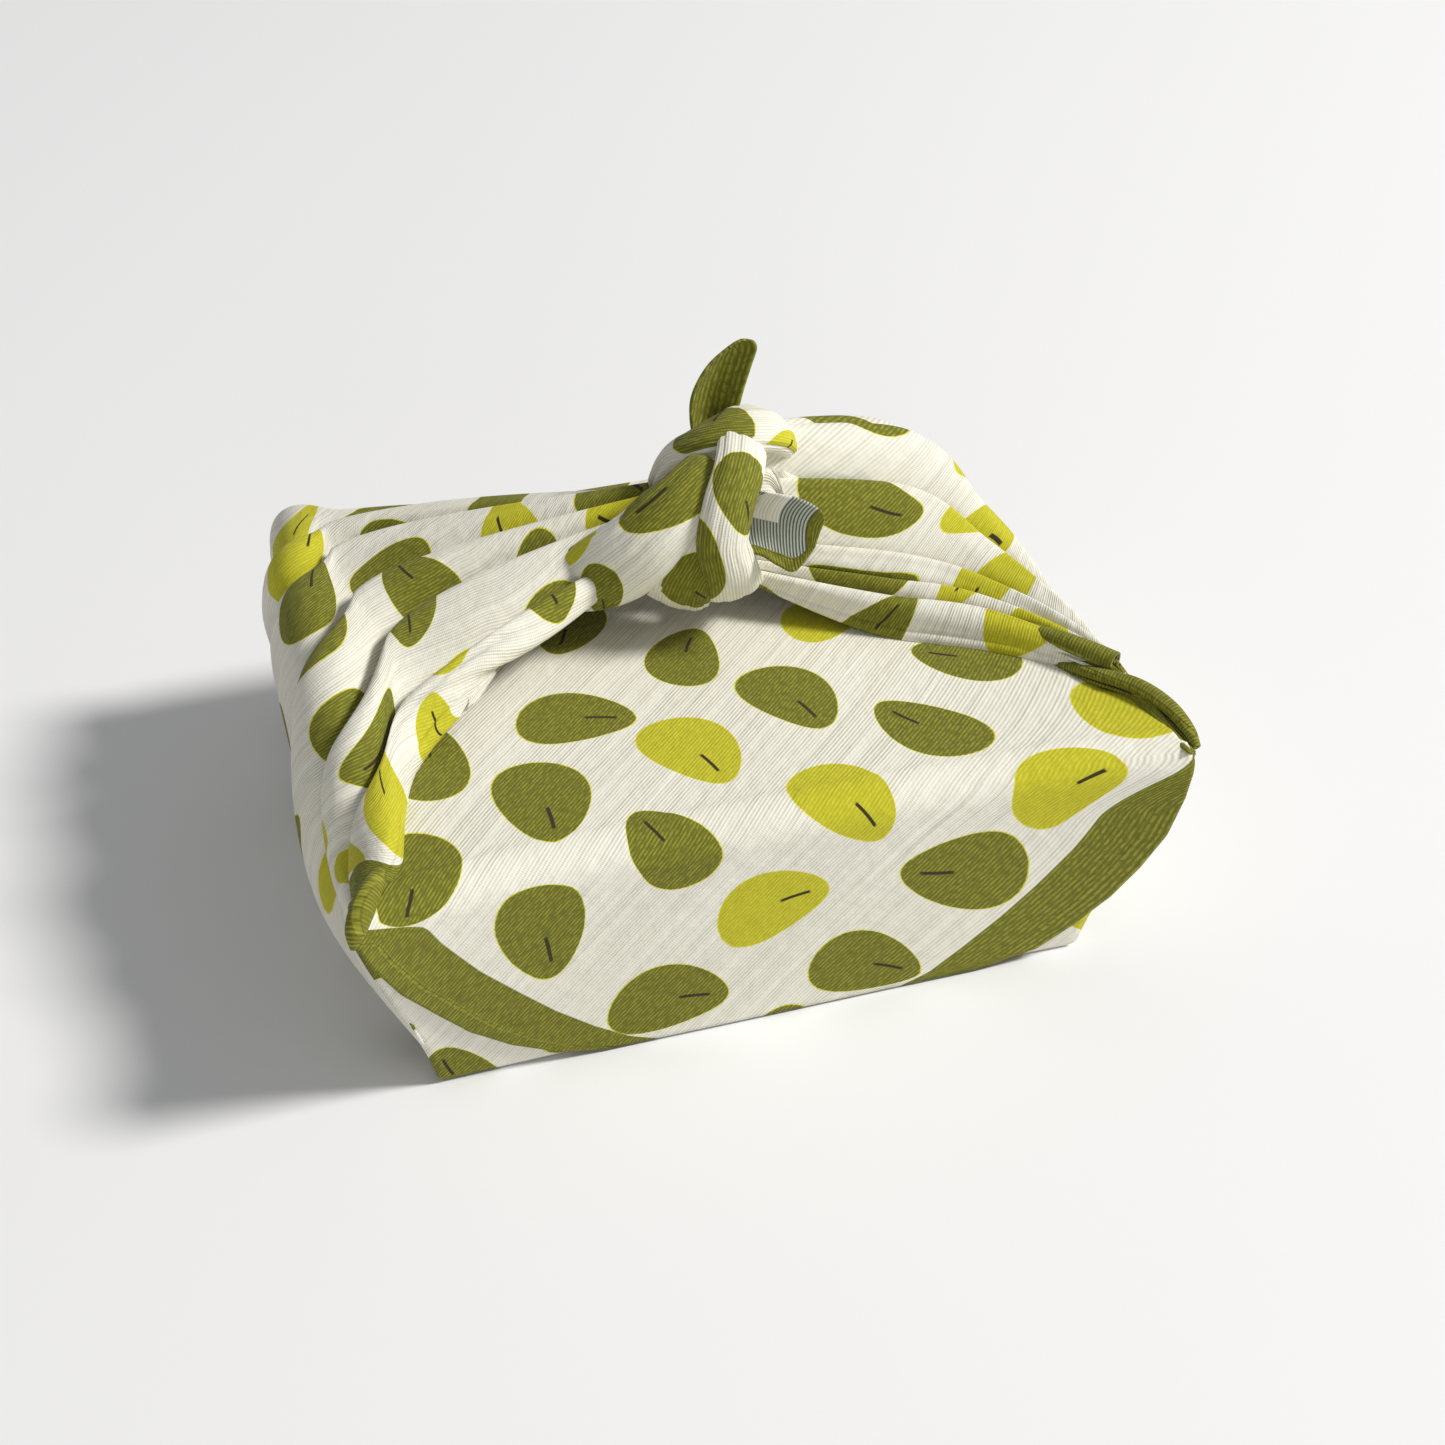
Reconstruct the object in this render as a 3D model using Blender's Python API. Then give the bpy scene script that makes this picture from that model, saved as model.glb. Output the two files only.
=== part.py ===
# Wrapping cloth folded round a square parcel and tied by two corners on top.
# One square of hemmed cloth. Lengths in the tables are millimetres; the scene is in metres.
# Origin at the middle of the underside, X to the right along the front, Y to the back, Z up.

import math

import bmesh
import bpy
import numpy as np

MM = 0.001

# Parcel shape under the cloth
HALF_WIDTH = 100.0
HALF_DEPTH = 100.0
TOP_HEIGHT = 73.0
EDGE_ROUND = 9.0
CORNER_ROUND = 9.0

# Cloth
SHEET = 2.2
WING_SHEET = 2.8
ROOT_DEPTH = 5.0
ROOT_SHARE = (0.88, 0.78)
ROOT_LIFT = 3.0
ROOT_FALL = 0.05
FLOOR_CLEAR = 0.8
NECK_FILL = 4.0
NECK_SHRINK = 0.45
BED_LEVEL = 71.0
BED_LINES = 0.9
BED_STATIONS = (2.4, 0.8)
TIP_RETREAT = 0.9

# Front corner fins, drawn out to the ears at the top
EAR_LEFT = (124.0, 110.0)
EAR_RIGHT = (128.0, 106.0)
FIN_CURVE = 0.4
FIN_BACK = ((0.25, 3.0), (0.75, 10.0))

# Front flap: height above the floor, reach of its hem to the left and to the right
HEM = (
    # height, left, right
    (0.0, 47.0, 61.0),
    (4.0, 65.0, 86.0),
    (11.0, 79.0, 98.0),
    (20.0, 91.0, 109.0),
    (30.0, 100.0, 117.0),
    (42.0, 110.0, 124.0),
    (56.0, 118.0, 128.0),
    (69.0, 123.0, 130.0),
    (72.5, 120.0, 127.0),
)
# Flap on the top: place from front to back, reach to the fold line of each gathered corner
FLAP_TOP = (
    # y, left, right
    (-112.0, 123.0, 129.0),
    (-100.0, 118.0, 128.0),
    (-84.0, 110.0, 124.0),
    (-60.0, 102.0, 118.0),
    (-36.0, 97.0, 108.0),
)
FLAP_TOP_LEVEL = (
    # y, height above the parcel's top
    (-34.0, -0.6),
    (-48.0, 0.2),
    (-60.0, 0.6),
    (-72.0, 0.8),
    (-83.0, 0.9),
)
FLAP_COLUMNS = 20
FLAP_SEAT = 0.4
FLAP_TOP_RISE = 1.0
FLAP_BOW = (60.0, 30.0)

# Stations along each gathered fold line, from the side of the parcel to the knot
STATION_LIFT = (0.0, 0.35, 0.9, 1.0, 0.8, 0.25)
ROWS_PER_STATION = 3

# Left corner of the cloth, front fold line first
LEFT_LINES = (
    # start, flank, rim, shelf, slope, neck
    ((-121, -104, 71), (-114, -97, 75), (-105, -88, 77), (-91, -46, 78), (-66, -25, 85), (-4, 13, 97)),
    ((-120, -104, 68), (-114, -76, 66), (-106, -57, 75), (-91, -24, 78), (-62, -9, 87), (-2, 15, 101)),
    ((-118, -101, 60), (-115, -66, 57), (-108, -34, 77), (-88, 8, 80), (-60, 20, 88), (0, 18, 105)),
    ((-100, -88, 3), (-117, -46, 38), (-110, 0, 77), (-92, 36, 80), (-61, 38, 89), (2, 21, 107)),
    ((-101, 60, 4), (-109, 62, 38), (-107, 42, 76), (-91, 59, 79), (-60, 52, 89), (3, 25, 107)),
    ((-101, 82, 5), (-108, 84, 42), (-106, 64, 78), (-90, 73, 81), (-56, 60, 89), (4, 29, 103)),
    ((-99, 96, 30), (-102, 99, 58), (-100, 97, 76), (-85, 85, 79), (-50, 66, 85), (4, 31, 96)),
)
LEFT_FOLDS = (
    # first line, last line, height, lean
    (0, 1, 7.5, 0.90),
    (1, 2, 8.0, 0.90),
    (2, 4, 8.5, 0.90),
    (4, 5, 7.0, 0.90),
    (5, 6, 5.5, 0.75),
)

# Right corner of the cloth, looser, front fold line first
RIGHT_LINES = (
    # start, flank, rim, shelf, slope, neck
    ((129, -106, 72), (124, -85, 75), (116, -62, 76.5), (92, -40, 76.5), (62, -22, 78), (34, 4, 86)),
    ((130, -105, 69), (125, -77, 75), (118, -50, 80), (96, -20, 84), (70, -7, 89), (34, 9, 97)),
    ((127, -103, 62), (122, -62, 70), (117, -28, 81), (108, 5, 91), (86, 24, 112), (36, 19, 130)),
    ((100, -88, 3), (113, -36, 38), (113, 6, 77), (102, 33, 92), (78, 39, 110), (36, 27, 127)),
    ((101, 40, 4), (109, 52, 40), (107, 54, 77), (93, 58, 88), (68, 52, 101), (33, 32, 116)),
    ((101, 82, 5), (107, 84, 42), (104, 82, 77), (88, 78, 83), (60, 64, 93), (30, 35, 105)),
    ((99, 96, 30), (102, 99, 58), (100, 97, 76), (84, 86, 79), (56, 70, 85), (27, 36, 95)),
)
RIGHT_FOLDS = (
    # first line, last line, height, lean
    (0, 1, 5.5, 0.60),
    (1, 2, 4.5, 0.70),
    (2, 3, 4.0, 0.60),
    (3, 4, 5.5, 0.80),
    (4, 5, 6.0, 0.80),
    (5, 6, 4.5, 0.70),
)
FOLD_COLUMNS = 6

# Knot strands: path points with half width, half thickness and roll in degrees
HEART = ((18, 16, 109), (22, 22, 22))
KNOT_STRANDS = (
    # name, rows of x, y, z, half width, half thickness, roll
    ("over_band", (
        (11, 33, 106, 8, 5, 0), (13, 28, 117, 9, 6, 0), (18, 21, 126, 10, 6, 0),
        (28, 18, 131, 11, 6, 0), (39, 21, 128, 11, 6, 0), (44, 28, 118, 9, 6, 0), (42, 33, 107, 7, 5, 0),
    )),
    ("front_band", (
        (28, 12, 129, 8, 5, 0), (23, -1, 128, 8, 5, 0), (17, -9, 121, 8, 6, 0),
        (14, -13, 112, 8, 6, 0), (16, -13, 102, 9, 6, 0), (19, -7, 92, 10, 5, 0), (22, 5, 88, 9, 5, 0),
    )),
    ("left_roll", (
        (18, 9, 125, 8, 6, 0), (9, 2, 122, 9, 7, 0), (0, -2, 116, 11, 7, 0),
        (-9, -2, 107, 12, 8, 0), (-19, 3, 98, 12, 8, 0), (-30, 11, 91, 10, 6, 0),
    )),
    ("lower_fan", (
        (12, 3, 115, 5, 5, 0), (6, -5, 108, 8, 6, 0), (2, -7, 100, 11, 6, 0), (1, -3, 91, 12, 5, 0),
        (4, 6, 87, 11, 4, 0),
    )),
    ("right_roll", (
        (24, 18, 106, 12, 12, 0), (36, 20, 108, 12, 13, 0), (47, 22, 107, 10, 10, 0), (54, 23, 106, 6, 6, 0),
    )),
)
STRAND_STEPS = 3
STRAND_SIDES = 12

# Free ends: rows from the root to the tip, each with its two edges and the dip of the middle
FRONT_END = (
    # upper edge, lower edge, dip of the middle
    ((18, 2, 121), (13, -2, 106), 3.0),
    ((25, -5, 123), (18, -11, 107), 6.0),
    ((31, -11, 124), (25, -18, 108), 7.0),
    ((38, -15, 123), (29, -22, 106), 5.0),
    ((43.5, -18, 120), (33, -25, 105), 2.0),
    ((44, -20, 117), (40, -23, 111), 0.5),
)
BACK_END = (
    ((18, 25, 122), (27, 23, 122), 3.0),
    ((17, 27, 132), (30, 24, 132), 5.0),
    ((18, 28, 140), (33, 26, 140), 5.0),
    ((23, 29, 148), (36, 27, 148), 4.0),
    ((30, 30, 153), (38, 28, 153), 2.0),
    ((34, 30, 155), (37, 29, 155), 0.5),
)
END_THICKNESS = 2.6
END_COLUMNS = 8

# Cloth colours
CREAM = (0.80, 0.78, 0.69, 1.0)
CLOTH_ROUGHNESS = 0.85


def clear_scene():
    for item in list(bpy.data.objects):
        bpy.data.objects.remove(item, do_unlink=True)


def collection(name, hidden=False):
    made = bpy.data.collections.new(name)
    bpy.context.scene.collection.children.link(made)
    made.hide_render = hidden
    return made


def cloth_material():
    made = bpy.data.materials.new("cream_cloth")
    made.use_nodes = True
    shader = made.node_tree.nodes["Principled BSDF"]
    shader.inputs["Base Color"].default_value = CREAM
    shader.inputs["Roughness"].default_value = CLOTH_ROUGHNESS
    shader.inputs["Metallic"].default_value = 0.0
    return made


def along(points, where):
    """Smooth curve through the points. One unit of where for each gap between two points."""
    points = np.asarray(points, float)
    where = np.clip(np.asarray(where, float), 0.0, len(points) - 1.0)
    first = np.minimum(where.astype(int), len(points) - 2)
    part = (where - first).reshape((-1,) + (1,) * (points.ndim - 1))
    before = points[np.maximum(first - 1, 0)]
    start = points[first]
    end = points[first + 1]
    after = points[np.minimum(first + 2, len(points) - 1)]
    lead = 0.5 * (end - before)
    trail = 0.5 * (after - start)
    change = end - start
    return (
        start
        + lead * part
        + (3 * change - 2 * lead - trail) * part**2
        + (lead + trail - 2 * change) * part**3
    )


def ease(value):
    value = np.clip(value, 0.0, 1.0)
    return value * value * (3.0 - 2.0 * value)


def normals_of(grid):
    down = np.gradient(grid, axis=0)
    across = np.gradient(grid, axis=1)
    normal = np.cross(across, down)
    return normal / np.maximum(np.linalg.norm(normal, axis=2, keepdims=True), 1e-9)


def facing_up(grid):
    """Normals of a grid, turned so that its upper rows face the sky."""
    normal = normals_of(grid)
    return normal if normal[: max(2, len(grid) // 4), :, 2].mean() > 0 else -normal


def mesh_object(name, points, faces, home, material):
    mesh = bpy.data.meshes.new(name)
    mesh.from_pydata([tuple(point * MM) for point in points], [], faces)
    shape = bmesh.new()
    shape.from_mesh(mesh)
    bmesh.ops.remove_doubles(shape, verts=shape.verts, dist=1e-6)
    bmesh.ops.dissolve_degenerate(shape, edges=shape.edges, dist=1e-6)
    bmesh.ops.triangulate(shape, faces=shape.faces)
    bmesh.ops.recalc_face_normals(shape, faces=shape.faces)
    if shape.calc_volume(signed=True) < 0:
        bmesh.ops.reverse_faces(shape, faces=shape.faces)
    shape.to_mesh(mesh)
    shape.free()
    made = bpy.data.objects.new(name, mesh)
    made.data.materials.append(material)
    home.objects.link(made)
    return made


def closed_sheet(name, outer, inner, home, material):
    """Solid between two grids of the same size, with a rim round the four edges."""
    rows, columns = outer.shape[:2]
    count = rows * columns
    points = np.concatenate([outer.reshape(-1, 3), inner.reshape(-1, 3)])

    def at(row, column, side=0):
        return side * count + row * columns + column

    faces = []
    for row in range(rows - 1):
        for column in range(columns - 1):
            corner = [
                at(row, column), at(row, column + 1), at(row + 1, column + 1), at(row + 1, column),
            ]
            faces.append(corner)
            faces.append([index + count for index in reversed(corner)])
    rim = [(0, column) for column in range(columns)]
    rim += [(row, columns - 1) for row in range(1, rows)]
    rim += [(rows - 1, column) for column in range(columns - 2, -1, -1)]
    rim += [(row, 0) for row in range(rows - 2, 0, -1)]
    for here, there in zip(rim, rim[1:] + rim[:1]):
        faces.append([at(*there), at(*here), at(*here, 1), at(*there, 1)])
    return mesh_object(name, points, faces, home, material)


def closed_rings(name, rings, home, material):
    """Solid through rings of points, closed with a fan at each end."""
    rows, columns = rings.shape[:2]
    points = np.concatenate(
        [rings.reshape(-1, 3), rings[:1].mean(axis=1), rings[-1:].mean(axis=1)]
    )
    faces = []
    for row in range(rows - 1):
        for column in range(columns):
            after = (column + 1) % columns
            faces.append([
                row * columns + column, row * columns + after,
                (row + 1) * columns + after, (row + 1) * columns + column,
            ])
    for column in range(columns):
        after = (column + 1) % columns
        faces.append([rows * columns, after, column])
        last = (rows - 1) * columns
        faces.append([rows * columns + 1, last + column, last + after])
    return mesh_object(name, points, faces, home, material)


def fin_rise(height):
    """How far the front corners are drawn out at a height, from none to all."""
    return ease(height / TOP_HEIGHT) * FIN_CURVE + (1.0 - FIN_CURVE) * height / TOP_HEIGHT


def fin_reach(height, ear):
    return HALF_WIDTH + (ear[0] - HALF_WIDTH) * fin_rise(height)


def front_face(x, height, deep=HALF_DEPTH):
    """Where the parcel's front lies, bowing out to the two ears."""
    ear = EAR_LEFT if x < 0 else EAR_RIGHT
    drawn = -HALF_DEPTH - (ear[1] - HALF_DEPTH) * fin_rise(height)
    side = (abs(x) / fin_reach(height, ear)) ** 4
    return -deep * (1.0 - side) + drawn * side


def parcel_ring(height, inset):
    """One level of the wrapped parcel, with its two front corners drawn out to the ears."""
    left = -fin_reach(height, EAR_LEFT) + inset * TIP_RETREAT
    right = fin_reach(height, EAR_RIGHT) - inset * TIP_RETREAT
    wide = HALF_WIDTH - inset
    deep = HALF_DEPTH - inset

    def front(x):
        return front_face(x, height, deep)

    points = []
    for x in np.linspace(left, right, 15):
        points.append((x, front(x)))
    for share, behind in FIN_BACK:
        x = right + (wide - right) * share
        points.append((x, front(x) + behind))
    for share in (0.13, 0.35, 0.6, 0.85):
        points.append((wide, -deep + 2.0 * deep * share))
    for turn in (0, 30, 60, 90):
        angle = math.radians(turn)
        points.append((
            wide - CORNER_ROUND + CORNER_ROUND * math.cos(angle),
            deep - CORNER_ROUND + CORNER_ROUND * math.sin(angle),
        ))
    for share in (0.25, 0.5, 0.75):
        points.append((wide - 2.0 * wide * share, deep))
    for turn in (90, 120, 150, 180):
        angle = math.radians(turn)
        points.append((
            -wide + CORNER_ROUND + CORNER_ROUND * math.cos(angle),
            deep - CORNER_ROUND + CORNER_ROUND * math.sin(angle),
        ))
    for share in (0.85, 0.6, 0.35, 0.13):
        points.append((-wide, -deep + 2.0 * deep * share))
    for share, behind in reversed(FIN_BACK):
        x = left + (-wide - left) * share
        points.append((x, front(x) + behind))
    return [(x, y, height) for x, y in points]


def wrapped_parcel(home, material):
    levels = [(0.0, 1.5), (1.2, 0.3), (6.0, 0.0), (22.0, 0.0), (40.0, 0.0), (55.0, 0.0)]
    for turn in (20, 45, 70, 90):
        angle = math.radians(turn)
        levels.append((
            TOP_HEIGHT - EDGE_ROUND + EDGE_ROUND * math.sin(angle),
            EDGE_ROUND * (1.0 - math.cos(angle)),
        ))
    rings = np.array([parcel_ring(height, inset) for height, inset in levels])
    return closed_rings("wrapped_parcel", rings, home, material)


def front_flap(home, material):
    """Far corner of the cloth, over the top edge and down the front to the floor."""
    path = [(y, TOP_HEIGHT + rise) for y, rise in FLAP_TOP_LEVEL]
    for turn in (0, 22, 45, 68, 90):
        angle = math.radians(turn)
        path.append((
            -HALF_DEPTH + EDGE_ROUND - (EDGE_ROUND + SHEET) * math.sin(angle),
            TOP_HEIGHT - EDGE_ROUND + (EDGE_ROUND + FLAP_TOP_RISE) * math.cos(angle),
        ))
    for height in (54.0, 44.0, 34.0, 25.0, 17.0, 11.0, 6.0, 3.0, 0.6):
        path.append((-HALF_DEPTH - SHEET, height))
    hem = np.array(HEM)
    top = np.array(FLAP_TOP)
    grid = []
    for y, z in path:
        if z > TOP_HEIGHT - 1.0:
            reaches = np.array([np.interp(y, top[:, 0], top[:, side]) for side in (1, 2)])
        else:
            reaches = np.array([np.interp(z, hem[:, 0], hem[:, side]) for side in (1, 2)])
        left, right = reaches
        row = []
        for share in np.linspace(-1.0, 1.0, FLAP_COLUMNS):
            x = share * (left if share < 0 else right)
            bow = (front_face(x, z) + HALF_DEPTH) * ease((-y - FLAP_BOW[0]) / FLAP_BOW[1])
            row.append((x, y + bow, z))
        grid.append(row)
    outer = np.array(grid)
    inner = outer - facing_up(outer) * (SHEET + FLAP_SEAT)
    return closed_sheet("front_flap", outer, inner, home, material)


def wing(name, lines, folds, root_side, home, material):
    """A gathered corner of the cloth, from the parcel's side up over its rim to the knot."""
    lines = np.array(lines, float)
    stations = lines.shape[1]
    rows = (stations - 1) * ROWS_PER_STATION + 1
    where = np.linspace(0.0, stations - 1.0, rows)
    swept = along(lines.transpose(1, 0, 2), where)
    columns = []
    heights = []
    for number, (first, last, height, lean) in enumerate(folds):
        turns = np.linspace(0.0, 2.0 * math.pi, FOLD_COLUMNS * (last - first) + 1)
        if number:
            turns = turns[1:]
        share = (turns + lean * (1.0 - np.cos(turns))) / (2.0 * math.pi)
        columns.extend(first + (last - first) * share)
        heights.extend(height * 0.5 * (1.0 - np.cos(turns)))
    base = along(swept.transpose(1, 0, 2), np.array(columns)).transpose(1, 0, 2)
    normal = normals_of(base)
    if normal[rows // 2, :, 2].mean() < 0:
        normal = -normal
    lift = along(np.array(STATION_LIFT).reshape(-1, 1), where).reshape(-1, 1, 1)
    rise = lift * np.array(heights).reshape(1, -1, 1)
    outer = base + normal * rise
    toward_neck = ease((where - (stations - 2.0)) / 1.0).reshape(-1, 1, 1)
    open_sheet = outer - normal * WING_SHEET
    bundle = base + (base.mean(axis=1, keepdims=True) - base) * NECK_SHRINK
    bundle[:, :, 2] -= NECK_FILL
    inner = open_sheet * (1.0 - toward_neck) + bundle * toward_neck
    root = base * np.array([0.0, ROOT_SHARE[0], ROOT_SHARE[1]])
    root += np.array([root_side * (HALF_WIDTH - ROOT_DEPTH), 0.0, ROOT_LIFT])
    root[:, :, 2] *= 1.0 - ROOT_FALL * np.array(columns)
    seated = ease((where - 1.7) / 1.0).reshape(-1, 1, 1)
    inner = root * (1.0 - seated) + inner * seated
    bedded = 1.0 - ease(np.array(columns) / BED_LINES).reshape(1, -1)
    bedded = bedded * (1.0 - ease((where - BED_STATIONS[0]) / BED_STATIONS[1]).reshape(-1, 1))
    level = np.minimum(inner[:, :, 2], BED_LEVEL)
    inner[:, :, 2] = inner[:, :, 2] * (1.0 - bedded) + level * bedded
    for grid in (outer, inner):
        grid[:, :, 2] = np.maximum(grid[:, :, 2], FLOOR_CLEAR)
    return closed_sheet(name, outer, inner, home, material)


def strand(name, rows, home, material):
    """A flattened roll of cloth through the table's points."""
    table = np.array(rows, float)
    where = np.linspace(0.0, len(table) - 1.0, (len(table) - 1) * STRAND_STEPS + 1)
    path = along(table, where)
    centre = np.array(HEART[0], float)
    tangents = np.gradient(path[:, :3], axis=0)
    rings = []
    for point, tangent in zip(path, tangents):
        tangent = tangent / np.linalg.norm(tangent)
        out = point[:3] - centre
        out = out - tangent * out.dot(tangent)
        out = out / max(np.linalg.norm(out), 1e-6)
        side = np.cross(tangent, out)
        roll = math.radians(point[5])
        wide = side * math.cos(roll) + out * math.sin(roll)
        thick = out * math.cos(roll) - side * math.sin(roll)
        ring = []
        for turn in np.linspace(0.0, 2.0 * math.pi, STRAND_SIDES, endpoint=False):
            ring.append(
                point[:3] + wide * point[3] * math.cos(turn) + thick * point[4] * math.sin(turn)
            )
        rings.append(ring)
    return closed_rings(name, np.array(rings), home, material)


def heart(home, material):
    """Middle of the knot, where the strands cross."""
    centre, radii = HEART
    rings = []
    for level in np.linspace(-80.0, 80.0, 9):
        up = math.radians(level)
        ring = []
        for turn in np.linspace(0.0, 2.0 * math.pi, 16, endpoint=False):
            ring.append((
                centre[0] + radii[0] * math.cos(up) * math.cos(turn),
                centre[1] + radii[1] * math.cos(up) * math.sin(turn),
                centre[2] + radii[2] * math.sin(up),
            ))
        rings.append(ring)
    return closed_rings("knot_middle", np.array(rings), home, material)


def free_end(name, rows, facing, home, material):
    """A short free end of the cloth, cupped along its middle."""
    where = np.linspace(0.0, len(rows) - 1.0, (len(rows) - 1) * 2 + 1)
    upper = along(np.array([row[0] for row in rows], float), where)
    lower = along(np.array([row[1] for row in rows], float), where)
    dips = along(np.array([[row[2]] for row in rows], float), where)
    facing = np.array(facing, float) / np.linalg.norm(facing)
    share = np.linspace(0.0, 1.0, END_COLUMNS + 1).reshape(1, -1, 1)
    cup = np.sin(math.pi * share)
    grid = upper[:, None] * (1.0 - share) + lower[:, None] * share
    grid = grid - facing * cup * dips[:, None]
    return closed_sheet(name, grid, grid - facing * END_THICKNESS, home, material)


def islands(shape):
    """Connected groups of vertices, largest first."""
    shape.verts.ensure_lookup_table()
    seen = set()
    groups = []
    for first in shape.verts:
        if first.index in seen:
            continue
        seen.add(first.index)
        waiting = [first]
        group = []
        while waiting:
            vertex = waiting.pop()
            group.append(vertex)
            for edge in vertex.link_edges:
                other = edge.other_vert(vertex)
                if other.index not in seen:
                    seen.add(other.index)
                    waiting.append(other)
        groups.append(group)
    return sorted(groups, key=len, reverse=True)


def drop_specks(mesh):
    """Remove the specks that crossing strands leave inside the knot."""
    shape = bmesh.new()
    shape.from_mesh(mesh)
    for group in islands(shape)[1:]:
        bmesh.ops.delete(shape, geom=group, context="VERTS")
    shape.to_mesh(mesh)
    shape.free()


def join(pieces, name, home, material):
    """One body out of overlapping pieces."""
    base = pieces[0]
    for other in pieces[1:]:
        step = base.modifiers.new(other.name, "BOOLEAN")
        step.operation = "UNION"
        step.solver = "EXACT"
        step.object = other
    graph = bpy.context.evaluated_depsgraph_get()
    mesh = bpy.data.meshes.new_from_object(base.evaluated_get(graph))
    drop_specks(mesh)
    made = bpy.data.objects.new(name, mesh)
    made.data.materials.clear()
    made.data.materials.append(material)
    home.objects.link(made)
    return made


def main():
    clear_scene()
    home = collection("furoshiki_wrap")
    helpers = collection("fold_pieces", hidden=True)
    material = cloth_material()
    pieces = [
        wrapped_parcel(helpers, material),
        front_flap(helpers, material),
        wing("left_wing", LEFT_LINES, LEFT_FOLDS, -1.0, helpers, material),
        wing("right_wing", RIGHT_LINES, RIGHT_FOLDS, 1.0, helpers, material),
        heart(helpers, material),
    ]
    for name, rows in KNOT_STRANDS:
        pieces.append(strand(name, rows, helpers, material))
    pieces.append(free_end("front_end", FRONT_END, (0.35, -0.7, 0.6), helpers, material))
    pieces.append(free_end("back_end", BACK_END, (-0.1, -1.0, 0.1), helpers, material))
    for piece in pieces:
        piece.display_type = "WIRE"
        piece.hide_render = True
    bpy.context.view_layer.update()
    join(pieces, "furoshiki", home, material)


main()
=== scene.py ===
# Looks of a printed wrapping cloth folded round a square parcel and tied on top.
# Shape tables are millimetres in the frame's axes: X right along the front, Y to the back, Z up.

import math

import bpy
import numpy as np
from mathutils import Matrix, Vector


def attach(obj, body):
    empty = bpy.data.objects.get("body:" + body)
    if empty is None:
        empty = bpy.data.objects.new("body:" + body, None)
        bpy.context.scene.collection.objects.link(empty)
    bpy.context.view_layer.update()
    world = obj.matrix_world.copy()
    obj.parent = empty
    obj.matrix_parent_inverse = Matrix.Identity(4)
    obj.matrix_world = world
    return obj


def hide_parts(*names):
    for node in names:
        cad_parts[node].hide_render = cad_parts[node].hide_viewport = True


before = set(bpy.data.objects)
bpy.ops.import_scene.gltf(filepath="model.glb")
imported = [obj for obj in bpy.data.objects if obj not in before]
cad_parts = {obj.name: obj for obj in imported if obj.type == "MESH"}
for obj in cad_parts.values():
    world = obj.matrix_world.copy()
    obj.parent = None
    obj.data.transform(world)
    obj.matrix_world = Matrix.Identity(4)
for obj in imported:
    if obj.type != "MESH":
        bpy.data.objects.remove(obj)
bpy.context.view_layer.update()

MM = 0.001

# Cloth: one square, in its own flat coordinates measured from its middle
CLOTH_HALF = 350.0
CORNER_DISTANCE = CLOTH_HALF * math.sqrt(2.0)
BORDER = 13.5
RIB_PITCH = 1.05
SHEET = 0.9

# Parcel under the cloth
HALF_WIDTH = 100.0
HALF_DEPTH = 100.0
TOP_HEIGHT = 73.0
EDGE_ROUND = 9.0
CORNER_ROUND = 9.0

# Front corner fins, drawn out to the ears at the top
EAR_LEFT = (124.0, 110.0)
EAR_RIGHT = (128.0, 106.0)
FIN_CURVE = 0.4
# Back of a fin: share of the way to the parcel's side, distance behind the front
FIN_BACK = ((0.06, 1.2), (0.15, 2.0), (0.35, 3.5), (0.55, 6.0), (0.75, 10.0), (0.92, 15.0))
# Cloth under the flap: how far it draws in near the top, from which height and over what rise
UNDER_FLAP = 2.0
UNDER_FLAP_LEVEL = 48.0
UNDER_FLAP_RISE = 12.0
# Points along the front, a side or the back, and a corner of each level
FRONT_POINTS = 90
SIDE_POINTS = 30
CORNER_POINTS = 9

# Front flap: height above the floor, reach of its hem to the left and to the right
HEM = (
    # height, left, right
    (0.0, 47.0, 61.0),
    (4.0, 65.0, 86.0),
    (11.0, 79.0, 98.0),
    (20.0, 91.0, 109.0),
    (30.0, 100.0, 117.0),
    (42.0, 110.0, 124.0),
    (56.0, 118.0, 128.0),
    (69.0, 123.0, 130.0),
    (72.5, 122.0, 129.0),
)
FIRST_HEM_LEVEL = 71.0
# Heights from which the hem turns back at the left ear and at the right ear
LEFT_TURN_BACK = 63.0
RIGHT_TURN_BACK = 52.0
# Flap on the top: place from front to back, reach to the left and to the right
FLAP_TOP = (
    # y, left, right
    (-112.0, 123.0, 129.0),
    (-100.0, 118.0, 128.0),
    (-84.0, 111.0, 125.0),
    (-60.0, 105.0, 120.0),
    (-34.0, 100.0, 113.0),
    (0.0, 94.0, 104.0),
    (50.0, 94.0, 95.0),
    (100.0, 97.0, 97.0),
)
FLAP_COLUMNS = 241
# Height of the flap over the parcel's back and top, over its front edge and over its front
FLAP_LIFT = 0.6
FLAP_EDGE_LIFT = 0.9
FLAP_FRONT_LIFT = 1.4
# The flap's edge sinks into the cloth below it, on the back and on the top
EDGE_SUNK = 1.6
EDGE_SUNK_POWER = 24
# Spread of the hem's slant over the width, and where it fades on the top
DRAWN_POWER = 1.8
DRAWN_FADE = (30.0, 68.0)
# The flap follows the front's curve from here, over this depth
FRONT_FOLLOW = (60.0, 30.0)

# Each gathered wing: six stations, from the side of the parcel to the knot
# Share of the folds' height that stands at each station
LEFT_LIFT = (0.0, 0.60, 0.95, 1.0, 0.90, 0.60)
RIGHT_LIFT = (0.0, 0.25, 0.50, 0.80, 0.95, 0.30)
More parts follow.
